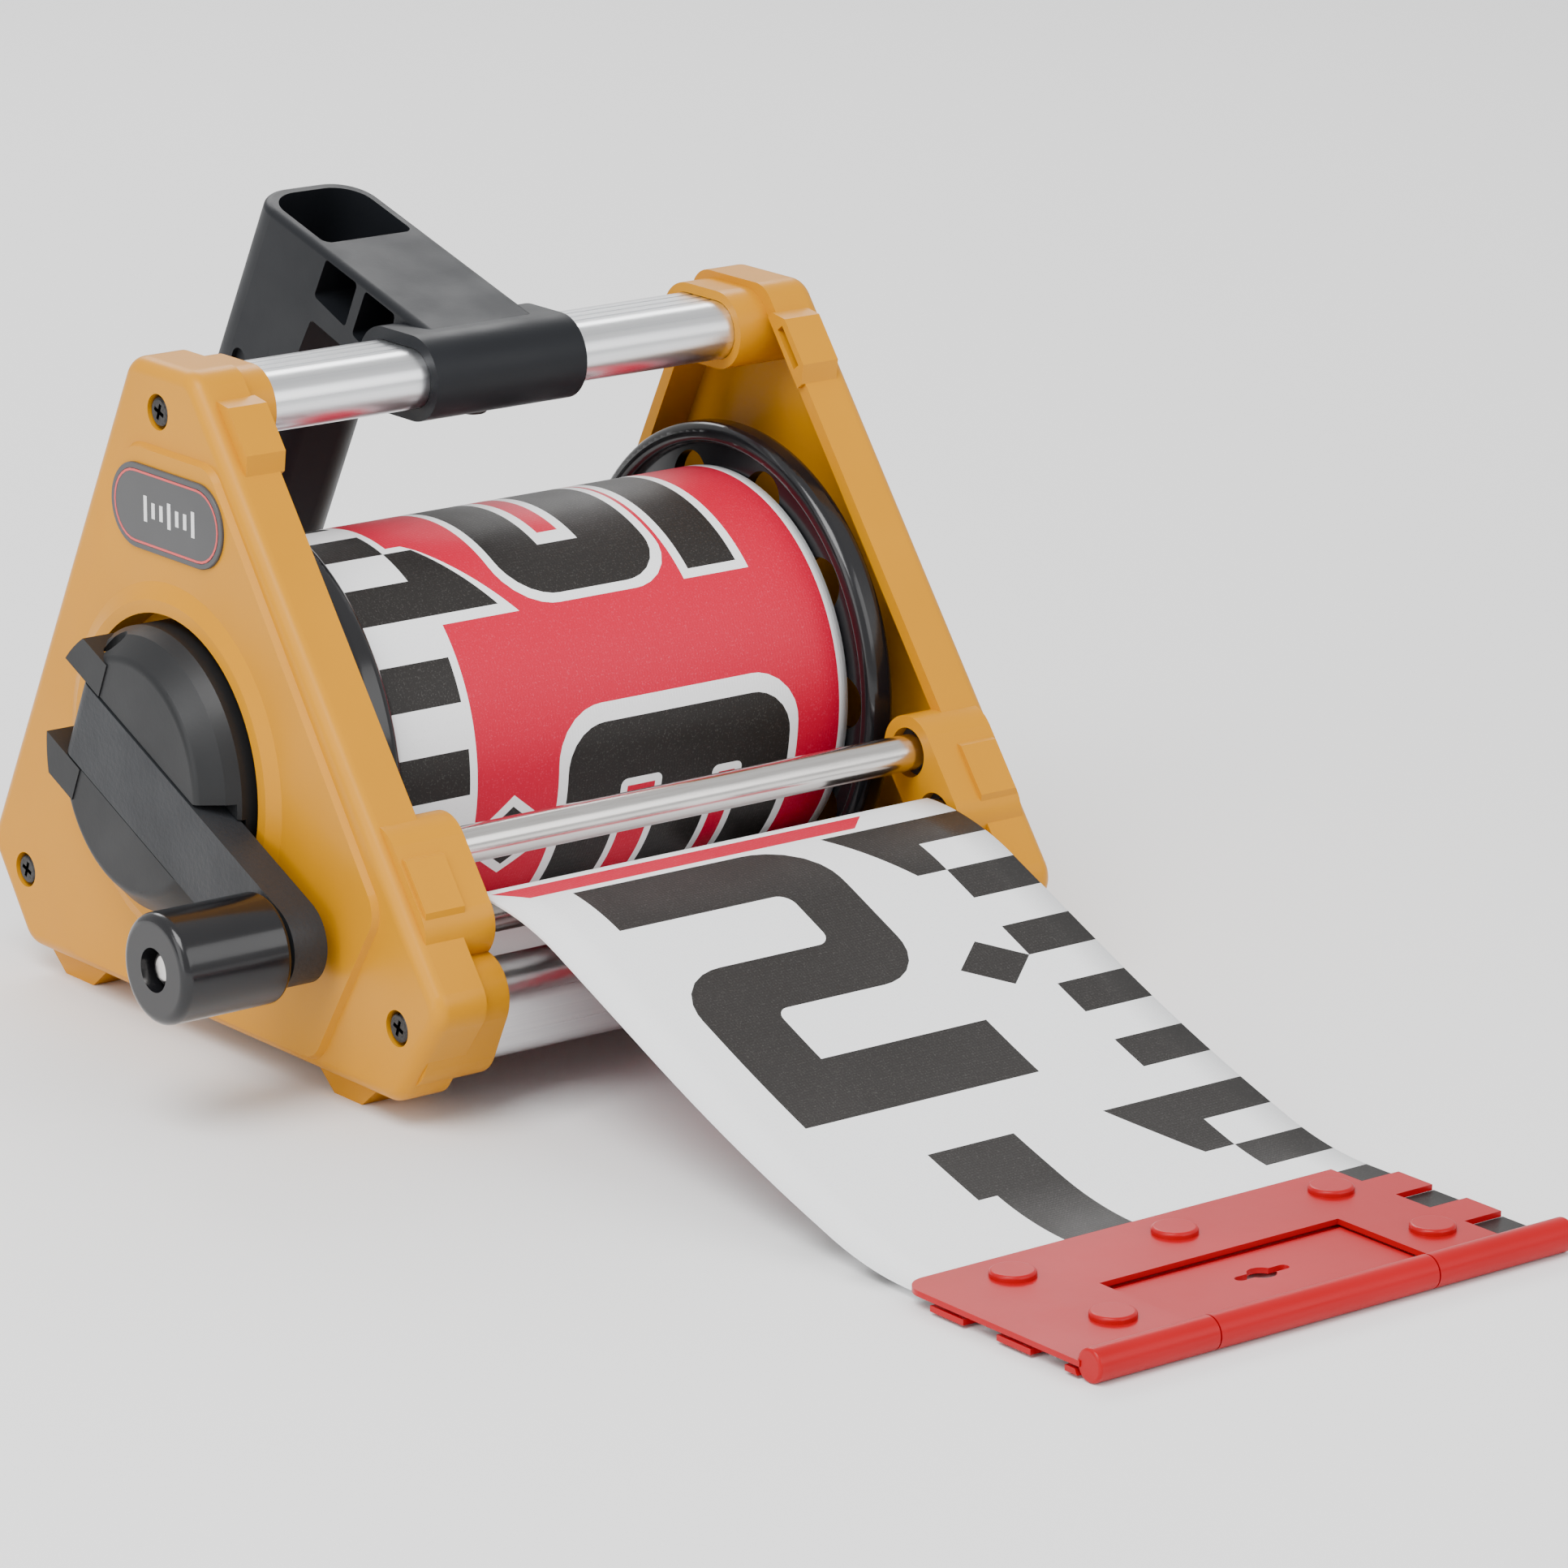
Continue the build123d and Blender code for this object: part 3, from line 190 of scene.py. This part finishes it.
FINISH = {
    "left_side_frame": YELLOW, "right_side_frame": YELLOW, "badge": BADGE,
    "top_tube": ALUMINIUM, "front_tube": ALUMINIUM, "rear_tube": ALUMINIUM,
    "left_frame_screws": SCREW, "right_frame_screws": SCREW,
    "left_rod_bushes": BUSH, "right_rod_bushes": BUSH,
    "upper_guide_rod": STEEL, "lower_guide_rod": STEEL,
    "carrying_grip": CHARCOAL, "grip_screw": SCREW,
    "left_shaft_bush": BUSH, "right_shaft_bush": BUSH,
    "left_thrust_washer": STEEL, "right_thrust_washer": STEEL, "shaft_cap": HUB_GREY,
    "reel_shaft": STEEL, "shaft_ring": SCREW, "winding_drum": GLOSS, "tape_clip": STEEL,
    "left_reel_flange": GLOSS, "right_reel_flange": GLOSS, "tape_roll": CLOTH[0],
    "crank_hub": HUB_GREY, "hub_screw": SCREW, "fold_pin": STEEL, "crank_arm": ARM_GREY,
    "knob_spindle": STEEL, "crank_knob": GLOSS, "free_tape": CLOTH[0],
    "hook_top_plate": RED_PAINT, "hook_bottom_plate": RED_PAINT, "hook_flap": RED_PAINT,
    "hook_pin": STEEL, "hook_rivets": RED_PAINT,
}
for node_name, material in FINISH.items():
    data = NODES[node_name].data
    data.materials.clear()
    data.materials.append(material)


# ------------------------------------------------------------------- print
WHITE, BLACK, RED = 0, 1, 2
HALF = 60.0
EDGE = 18.3          # width of the graduation blocks
STEP = 10.0
FIGURE = 84          # height of the large numerals


def arc(centre, radius, first, last, count=6):
    """Points on a circle from one angle to another, in degrees."""
    return [(centre[0] + radius * math.cos(math.radians(first + (last - first) * i / count)),
             centre[1] + radius * math.sin(math.radians(first + (last - first) * i / count)))
            for i in range(count + 1)]


def rounded(corners, radii):
    """Polygon whose corners are rounded by the given radii."""
    out = []
    size = len(corners)
    for i, radius in enumerate(radii):
        here = Vector(corners[i])
        if radius == 0:
            out.append(tuple(here))
            continue
        a = (Vector(corners[i - 1]) - here).normalized()
        b = (Vector(corners[(i + 1) % size]) - here).normalized()
        half = a.angle(b) / 2
        centre = here + (a + b).normalized() * radius / math.sin(half)
        first = here + a * radius / math.tan(half) - centre
        last = here + b * radius / math.tan(half) - centre
        steps = 7
        for k in range(steps + 1):
            spot = first.lerp(last, k / steps).normalized() * radius
            out.append(tuple(centre + spot))
    return out


def box(x0, s0, x1, s1):
    """Upright rectangle between two corners."""
    return [(x0, s0), (x1, s0), (x1, s1), (x0, s1)]


def figure_two(top):
    """A squared numeral two whose top edge lies on the line top."""
    low = top - FIGURE
    return rounded([(-42.5, top), (16.5, top), (16.5, top - 49), (-25, top - 49),
                    (-25, top - 65.5), (18.3, top - 65.5), (18.3, low), (-42.5, low),
                    (-42.5, top - 33.5), (1, top - 33.5), (1, top - 16.8), (-42.5, top - 16.8)],
                   [0, 15, 13, 3, 0, 0, 0, 0, 14, 3.5, 3.5, 0])


def figure_one(top):
    """A squared numeral one."""
    low = top - FIGURE
    return [(-23.4, top), (-1, top), (-1, low), (-18.6, low), (-18.6, top - 17), (-23.4, top - 17)]


def hundred_flag(top):
    """Flag-shaped graduation mark that starts on a 100 mm line."""
    inner = HALF - EDGE
    return [(HALF, top), (22.6, top), (33.8, top - 20), (inner, top - 20), (inner, top - 10),
            (HALF, top - 10)]


def diamond(x, s):
    """Half-way mark centred on a point."""
    return [(x - 9.3, s), (x, s - 7.4), (x + 9.3, s), (x, s + 7.4)]


def front_print():
    """Regions of the printed front, painted in this order over white."""
    layers = []
    for k in range(1, 25):
        low = 2 * STEP * k - STEP
        if low % 100 != 90:
            layers.append((BLACK, box(HALF - EDGE, low, HALF, low + STEP)))
    for n in (1, 2, 3):
        layers.append((BLACK, hundred_flag(100.0 * n)))
        layers.append((BLACK, diamond(HALF - EDGE - 9.3, 100.0 * n + 50)))
    layers.append((BLACK, figure_one(100.0)))
    layers.append((BLACK, figure_two(200.0)))
    layers.append((RED, [(-52, 201.8), (33.5, 201.8), (39.5, 207.5), (-58, 207.5)]))
    return layers


ROLL_LINE = 36.8     # a graduation line on the roll, as arc length from the front


def roll_print():
    """Regions of the reverse side seen on the roll: red ground, figures edged in white."""
    line = ROLL_LINE
    column = 39.8
    layers = [(RED, box(-58.5, -400, 57.6, 400)), (WHITE, box(-HALF, -400, -column, line - 2.6))]
    layers.append((WHITE, [(-HALF, line - 2.6), (-19.8, line - 2.6), (-33.6, line + 19.4),
                           (-36.0, line + 22.0), (-column, line + 22.0), (-column, 400),
                           (-HALF, 400)]))
    for k in range(-10, 12):
        low = line + 2 * STEP * k
        if k != 0:
            layers.append((BLACK, box(-HALF, low, -HALF + EDGE, low + STEP)))
    flag = [(-HALF, line), (-24.0, line), (-34.5, line + 20), (-HALF + EDGE, line + 20),
            (-HALF + EDGE, line + 10), (-HALF, line + 10)]
    layers.append((BLACK, flag))
    end = line + FIGURE
    big = rounded([(-18.6, line), (21.2, line), (21.2, end), (-18.6, end)], [11, 11, 11, 11])
    big_edge = rounded([(-20.8, line - 2.3), (23.4, line - 2.3), (23.4, end + 2.3),
                        (-20.8, end + 2.3)], [12, 12, 12, 12])
    layers += [(WHITE, big_edge), (BLACK, big),
               (WHITE, box(-5.2, line + 14, 5.4, end - 14)),
               (RED, box(-2.6, line + 18, 2.8, end - 18))]
    layers += [(WHITE, box(24.4, line - 2.3, 42.0, end + 2.3)),
               (BLACK, box(26.7, line, 39.7, end))]
    low_top = 6.8
    low_end = low_top - FIGURE
    low_edge = rounded([(-18.4, low_top + 4.2), (46.2, low_top + 4.2), (46.2, low_end - 4.2),
                        (-18.4, low_end - 4.2)], [12, 12, 12, 12])
    low_black = rounded([(-15.9, low_top), (44.0, low_top), (44.0, low_end), (-15.9, low_end)],
                        [10, 10, 10, 10])
    layers += [(WHITE, low_edge), (BLACK, low_black)]
    for left, right, top in ((-1.4, 9.6, -6.9), (23.4, 31.4, -8.0)):
        foot = low_end + 14
        layers.append((WHITE, rounded([(left, top), (right, top), (right, foot), (left, foot)],
                                      [1.6, 1.6, 1.6, 1.6])))
        layers.append((RED, box(left + 1.8, foot + 1.8, right - 1.8, top - 1.8)))
    spot = (-30.0, -15.4)
    layers.append((WHITE, [(spot[0] - 12.6, spot[1]), (spot[0], spot[1] - 10.0),
                           (spot[0] + 12.6, spot[1]), (spot[0], spot[1] + 10.0)]))
    layers.append((BLACK, diamond(*spot)))
    return layers


def inside(point, polygon):
    """Whether a point lies in a polygon."""
    x, y = point
    found = False
    for (x0, y0), (x1, y1) in zip(polygon, polygon[1:] + polygon[:1]):
        if (y0 > y) != (y1 > y) and x < x0 + (y - y0) * (x1 - x0) / (y1 - y0):
            found = not found
    return found


def printed_sheet(low, high, layers, across, holes=()):
    """Flat triangles (points, faces, colours) between two lengths, cut along every print edge."""
    points, edges = [], []

    def chain(polygon, closed=True):
        first = len(points)
        points.extend(Vector(p) for p in polygon)
        edges.extend((first + i, first + i + 1) for i in range(len(polygon) - 1))
        if closed:
            edges.append((first + len(polygon) - 1, first))

    chain(box(-HALF, low, HALF, high))
    for k in range(1, int((high - low) / across)):
        chain([(-HALF, low + k * across), (HALF, low + k * across)], False)
    for x in (-50, -40, -20, 0, 20, 40, 50):
        chain([(x, low), (x, high)], False)
    for _, polygon in layers:
        kept = [(min(max(x, -HALF), HALF), min(max(s, low), high)) for x, s in polygon]
        neat = [p for p, q in zip(kept, kept[1:] + kept[:1]) if p != q]
        if len(neat) > 2 and max(p[1] for p in neat) > low and min(p[1] for p in neat) < high:
            chain(neat)
    for polygon in holes:
        chain(polygon)
    flat, _, faces, *_ = geometry.delaunay_2d_cdt(points, edges, [], 0, 1e-5)
    kept_faces, colours = [], []
    for face in faces:
        middle = sum((flat[i] for i in face), Vector((0, 0))) / len(face)
        if not (-HALF < middle.x < HALF and low < middle.y < high):
            continue
        if any(inside(middle, polygon) for polygon in holes):
            continue
        colour = WHITE
        for value, polygon in layers:
            if inside(middle, polygon):
                colour = value
        kept_faces.append(tuple(face))
        colours.append(colour)
    return flat, kept_faces, colours


def cloth_object(name, flat, faces, colours, place, back_colours, thickness):
    """Solid sheet: place(x, s, offset) gives the point in mm at an offset from the middle."""
    count = len(flat)
    verts = [place(p.x, p.y, thickness / 2) for p in flat]
    verts += [place(p.x, p.y, -thickness / 2) for p in flat]
    made = list(faces) + [tuple(count + i for i in reversed(f)) for f in faces]
    slots = list(colours) + list(back_colours)
    border = {}
    for face in faces:
        for a, b in zip(face, face[1:] + face[:1]):
            border[(a, b)] = border.get((a, b), 0) + 1
    for a, b in list(border):
        if (b, a) not in border:
            made.append((b, a, count + a, count + b))
            slots.append(WHITE)
    mesh = bpy.data.meshes.new(name)
    mesh.from_pydata([in_metres(v) for v in verts], [], made)
    for material in CLOTH:
        mesh.materials.append(material)
    mesh.polygons.foreach_set("material_index", slots)
    mesh.polygons.foreach_set("use_smooth", [len(f) < 4 for f in made])
    mesh.update()
    return add(name, mesh)


# --------------------------------------------------------------- free tape
ROD = (-77.2, 42.5)              # y, z of the lower guide rod
ROD_R = 4.0
ROLL_R = 44.6
TAPE_T = 0.5
ZERO_Y = -278.5                  # front edge of the hook, where the graduation starts
BARREL = 8.2                     # from there to the tape's end, behind the hook's barrel
MID_Z = 2.35                     # middle of the tape between the hook's plates
CREST_R, CREST_TURN = 70, math.radians(23.5)    # the hump over the rod
FALL_R, LATE = 500, math.radians(17.2)          # slow flattening, down to this slope
LAND_R = 85                                     # sweep into the hook
PRE_LAND = 5.4                                  # straight stretch before that sweep


class TapePath:
    """The tape's centre line in (y, z), from the roll to the hook."""

    def __init__(self):
        wrap, roll = ROD_R + 0.1 + TAPE_T / 2, ROLL_R + 0.35 + TAPE_T / 2
        run_y, run_z = -ROD[0], AXIS_Z - ROD[1]
        slope = math.asin((wrap + roll) / math.hypot(run_y, run_z)) - math.atan2(run_z, run_y)
        drop = (ROD[1] + wrap - MID_Z - CREST_R * (1 - math.cos(CREST_TURN))
                - FALL_R * (math.cos(LATE) - math.cos(CREST_TURN)) - PRE_LAND * math.sin(LATE)
                - LAND_R * (1 - math.cos(LATE)))
        start = (-roll * math.sin(slope), AXIS_Z - roll * math.cos(slope))
        rod_at = (ROD[0] + wrap * math.sin(slope), ROD[1] + wrap * math.cos(slope))
        rise = math.hypot(start[0] - rod_at[0], start[1] - rod_at[1])
        # each leg: length and how far it turns down (radians, positive is downwards)
        legs = [(rise, 0.0), (wrap * slope, slope), (CREST_R * CREST_TURN, CREST_TURN),
                (drop / math.sin(CREST_TURN), 0.0), (FALL_R * (CREST_TURN - LATE), LATE - CREST_TURN),
                (PRE_LAND, 0.0), (LAND_R * LATE, -LATE)]
        self.points = [(start[0], start[1], slope)]
        self.runs = [0.0]
        for length, turn in legs:
            steps = max(1, int(length / 0.7))
            for _ in range(steps):
                self.advance(length / steps, turn / steps)
        last = self.points[-1][0] - (ZERO_Y + BARREL)
        for _ in range(60):
            self.advance(last / 60, 0.0)
        self.length = self.runs[-1]

    def advance(self, step, turn):
        """Add one point, a step further on and turned by this much."""
        y, z, heading = self.points[-1]
        mean = heading - turn / 2
        self.points.append((y - step * math.cos(mean), z + step * math.sin(mean), heading - turn))
        self.runs.append(self.runs[-1] + step)

    def at(self, s):
        """Point and heading at graduation s, counted from the hook's front edge."""
        run = min(max(self.length + BARREL - s, 0.0), self.length)
        low, high = 0, len(self.runs) - 1
        while high - low > 1:
            middle = (low + high) // 2
            if self.runs[middle] <= run:
                low = middle
            else:
                high = middle
        share = (run - self.runs[low]) / (self.runs[high] - self.runs[low])
        return [a + (b - a) * share for a, b in zip(self.points[low], self.points[high])]


PATH = TapePath()
FAR = PATH.length + BARREL


def on_tape(x, s, offset):
    """Point of the free tape at graduation s, at an offset from its middle."""
    y, z, heading = PATH.at(s)
    return (x, y + offset * math.sin(heading), z + offset * math.cos(heading))


BACK_SHIFT = 150.0   # the back's print runs this far behind the front's
RIVETS = [(-42.1, -229.0), (-0.7, -229.0), (40.7, -229.0), (-41.6, -258.2), (41.2, -258.2)]
window = [(-33.2, BARREL - 1), (32.0, BARREL - 1), (32.0, 37.6), (-33.2, 37.6)]
holes = [window] + [arc((x, y - ZERO_Y), 1.55, 0, 330, 11) for x, y in RIVETS]
flat, faces, front = printed_sheet(BARREL, FAR, front_print(), 1.6, holes)
back = []
for face in faces:
    middle = sum((flat[i] for i in face), Vector((0, 0))) / len(face)
    colour = WHITE
    for value, polygon in roll_print():
        if inside((middle.x, middle.y - BACK_SHIFT), polygon):
            colour = value
    back.append(colour)
tape = cloth_object("printed_tape", flat, faces, front, on_tape, back, TAPE_T)
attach(tape, "frame")
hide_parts("free_tape")

# -------------------------------------------------------------------- roll
SHIFT = 3.2          # the outer turns lie a little towards the far flange
ARC_LOW, ARC_HIGH = -math.pi * ROLL_R, math.pi * ROLL_R


def on_roll(x, s, offset):
    """Point of the outer turn at arc length s, at an offset from its middle."""
    angle = s / ROLL_R
    radius = ROLL_R - TAPE_T / 2 + offset
    return (x + SHIFT, -radius * math.cos(angle), AXIS_Z + radius * math.sin(angle))


flat, faces, front = printed_sheet(ARC_LOW, ARC_HIGH, roll_print(), 1.6)
turn_back = [WHITE] * len(faces)
outer = cloth_object("outer_turn", flat, faces, front, on_roll, turn_back, TAPE_T)
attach(outer, "reel")


def wound_body():
    """The turns below the outer one, as two coned ends with a fine spiral edge."""
    profile = []
    turns = 46
    inner_r = 22.05      # on the drum
    edge_x = HALF - 0.4
    wander = 0.16        # how far each turn's edge stands out or in
    for side in (-1, 1):
        rings = []
        for k in range(turns + 1):
            share = k / turns
            r = inner_r + (ROLL_R - TAPE_T - inner_r) * share
            x = side * edge_x + SHIFT * max(0.0, (share - 0.2) / 0.8)
            rings.append((x + (wander if k % 2 else -wander), r))
        profile += rings if side > 0 else rings[::-1]
    count = 96
    verts, made = [], []
    for i in range(count):
        angle = 2 * math.pi * i / count
        verts += [in_metres((x, -r * math.cos(angle), AXIS_Z + r * math.sin(angle)))
                  for x, r in profile]
    n = len(profile)
    for i in range(count):
        j = (i + 1) % count
        for k in range(n):
            m = (k + 1) % n
            made.append((i * n + k, i * n + m, j * n + m, j * n + k))
    mesh = bpy.data.meshes.new("wound_turns")
    mesh.from_pydata(verts, [], made)
    mesh.materials.append(CLOTH[0])
    mesh.update()
    return add("wound_turns", mesh)


wound = wound_body()
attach(wound, "reel")
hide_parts("tape_roll")


# -------------------------------------------------------------- small parts
def flat_piece(name, loops, place, height, material, body):
    """Thin raised piece from outlines (the later ones are holes), set on a surface."""
    made = bmesh.new()
    points, edges = [], []
    for loop in loops:
        first = len(points)
        points.extend(Vector(p) for p in loop)
        edges.extend((first + i, first + (i + 1) % len(loop)) for i in range(len(loop)))
    flat2, _, tris, *_ = geometry.delaunay_2d_cdt(points, edges, [], 0, 1e-6)
    base = [made.verts.new(in_metres(place(p.x, p.y, 0))) for p in flat2]
    for tri in tris:
        middle = sum((flat2[i] for i in tri), Vector((0, 0))) / len(tri)
        if sum(inside(middle, loop) for loop in loops) % 2:
            made.faces.new([base[i] for i in tri])
    up = (Vector(place(0, 0, height)) - Vector(place(0, 0, 0))) * MM
    moved = bmesh.ops.extrude_face_region(made, geom=made.faces[:])["geom"]
    bmesh.ops.translate(made, vec=up, verts=[g for g in moved if isinstance(g, bmesh.types.BMVert)])
    bmesh.ops.delete(made, geom=[v for v in made.verts if not v.link_faces], context="VERTS")
    bmesh.ops.recalc_face_normals(made, faces=made.faces)
    mesh = bpy.data.meshes.new(name)
    made.to_mesh(mesh)
    made.free()
    mesh.materials.append(material)
    obj = add(name, mesh)
    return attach(obj, body)


BADGE_X = -84.1                  # face of the badge
BADGE_Y, BADGE_Z = 0.9, 115.6    # its middle
INK = 0.06                       # height of its print


def stadium(length, width):
    """Outline with round ends, centred on the badge."""
    reach = (length - width) / 2
    return (arc((BADGE_Y + reach, BADGE_Z), width / 2, -90, 90, 14)
            + arc((BADGE_Y - reach, BADGE_Z), width / 2, 90, 270, 14))


def on_badge(y, z, height):
    """Point at a height above the badge's face."""
    return (BADGE_X - height, y, z)


flat_piece("badge_inline", [stadium(39.4, 15.8), stadium(38.4, 14.8)],
           on_badge, INK, LINE_RED, "frame")
for k in range(7):
    tall = 5.6 if k % 3 == 0 else 3.4
    mark = box(8.0 - 3.0 * k, BADGE_Z - tall / 2, 9.2 - 3.0 * k, BADGE_Z + tall / 2)
    flat_piece(f"badge_tick_{k + 1}", [mark], on_badge, INK, LINE_WHITE, "frame")


# ------------------------------------------------------- camera and light
def aim(obj, place, target):
    """Put obj at place, looking at target."""
    back = (Vector(place) - Vector(target)).normalized()
    turn = back.to_track_quat("Z", "Y").to_matrix().to_4x4()
    obj.matrix_world = Matrix.Translation(place) @ turn


EYE = (-0.86577, -1.15314, 0.47702)
SIDEWAYS = Vector((0.78781, -0.61588, 0.00666))
UPWARDS = Vector((0.16451, 0.22082, 0.96134))
camera_data = bpy.data.cameras.new("camera")
camera_data.lens = 164.9
camera_data.sensor_width = 36.0
camera_data.clip_start = 0.05
camera_data.clip_end = 30.0
camera = add("camera", camera_data)
axes = Matrix((SIDEWAYS, UPWARDS, SIDEWAYS.cross(UPWARDS))).transposed().to_4x4()
camera.matrix_world = Matrix.Translation(EYE) @ axes
bpy.context.scene.camera = camera


def softbox(name, place, target, size, power):
    """Rectangular area light aimed at a point."""
    data = bpy.data.lights.new(name, "AREA")
    data.shape = "RECTANGLE"
    data.size, data.size_y = size
    data.energy = power
    obj = add(name, data)
    aim(obj, place, target)


softbox("key", (-0.88, -0.42, 1.5), (0.02, 0.03, 0.05), (1.0, 1.0), 34)
softbox("fill", (0.52, -1.52, 0.9), (0.02, -0.02, 0.05), (1.4, 1.0), 12)
softbox("left_panel", (-1.58, -0.12, 0.5), (-0.08, 0.08, 0.06), (0.9, 1.2), 9)
softbox("rim", (0.62, 1.28, 1.1), (0.02, 0.08, 0.08), (1.2, 0.6), 14)

world = bpy.data.worlds.new("studio")
world.use_nodes = True
world.node_tree.nodes["Background"].inputs["Color"].default_value = (1, 1, 1, 1)
world.node_tree.nodes["Background"].inputs["Strength"].default_value = 0.85
bpy.context.scene.world = world

floor_mesh = bpy.data.meshes.new("floor")
floor_mesh.from_pydata([(-6, -6, 0), (6, -6, 0), (6, 6, 0), (-6, 6, 0)], [], [(0, 1, 2, 3)])
floor_shader = Shader("floor_white")
floor_shader.link(floor_shader.mix(floor_shader.noise(2), (0.86, 0.86, 0.86), (0.88, 0.88, 0.88)),
                  floor_shader.bsdf.inputs["Base Color"])
floor_shader.set(Roughness=0.8)
floor_mesh.materials.append(floor_shader.mat)
add("floor", floor_mesh)
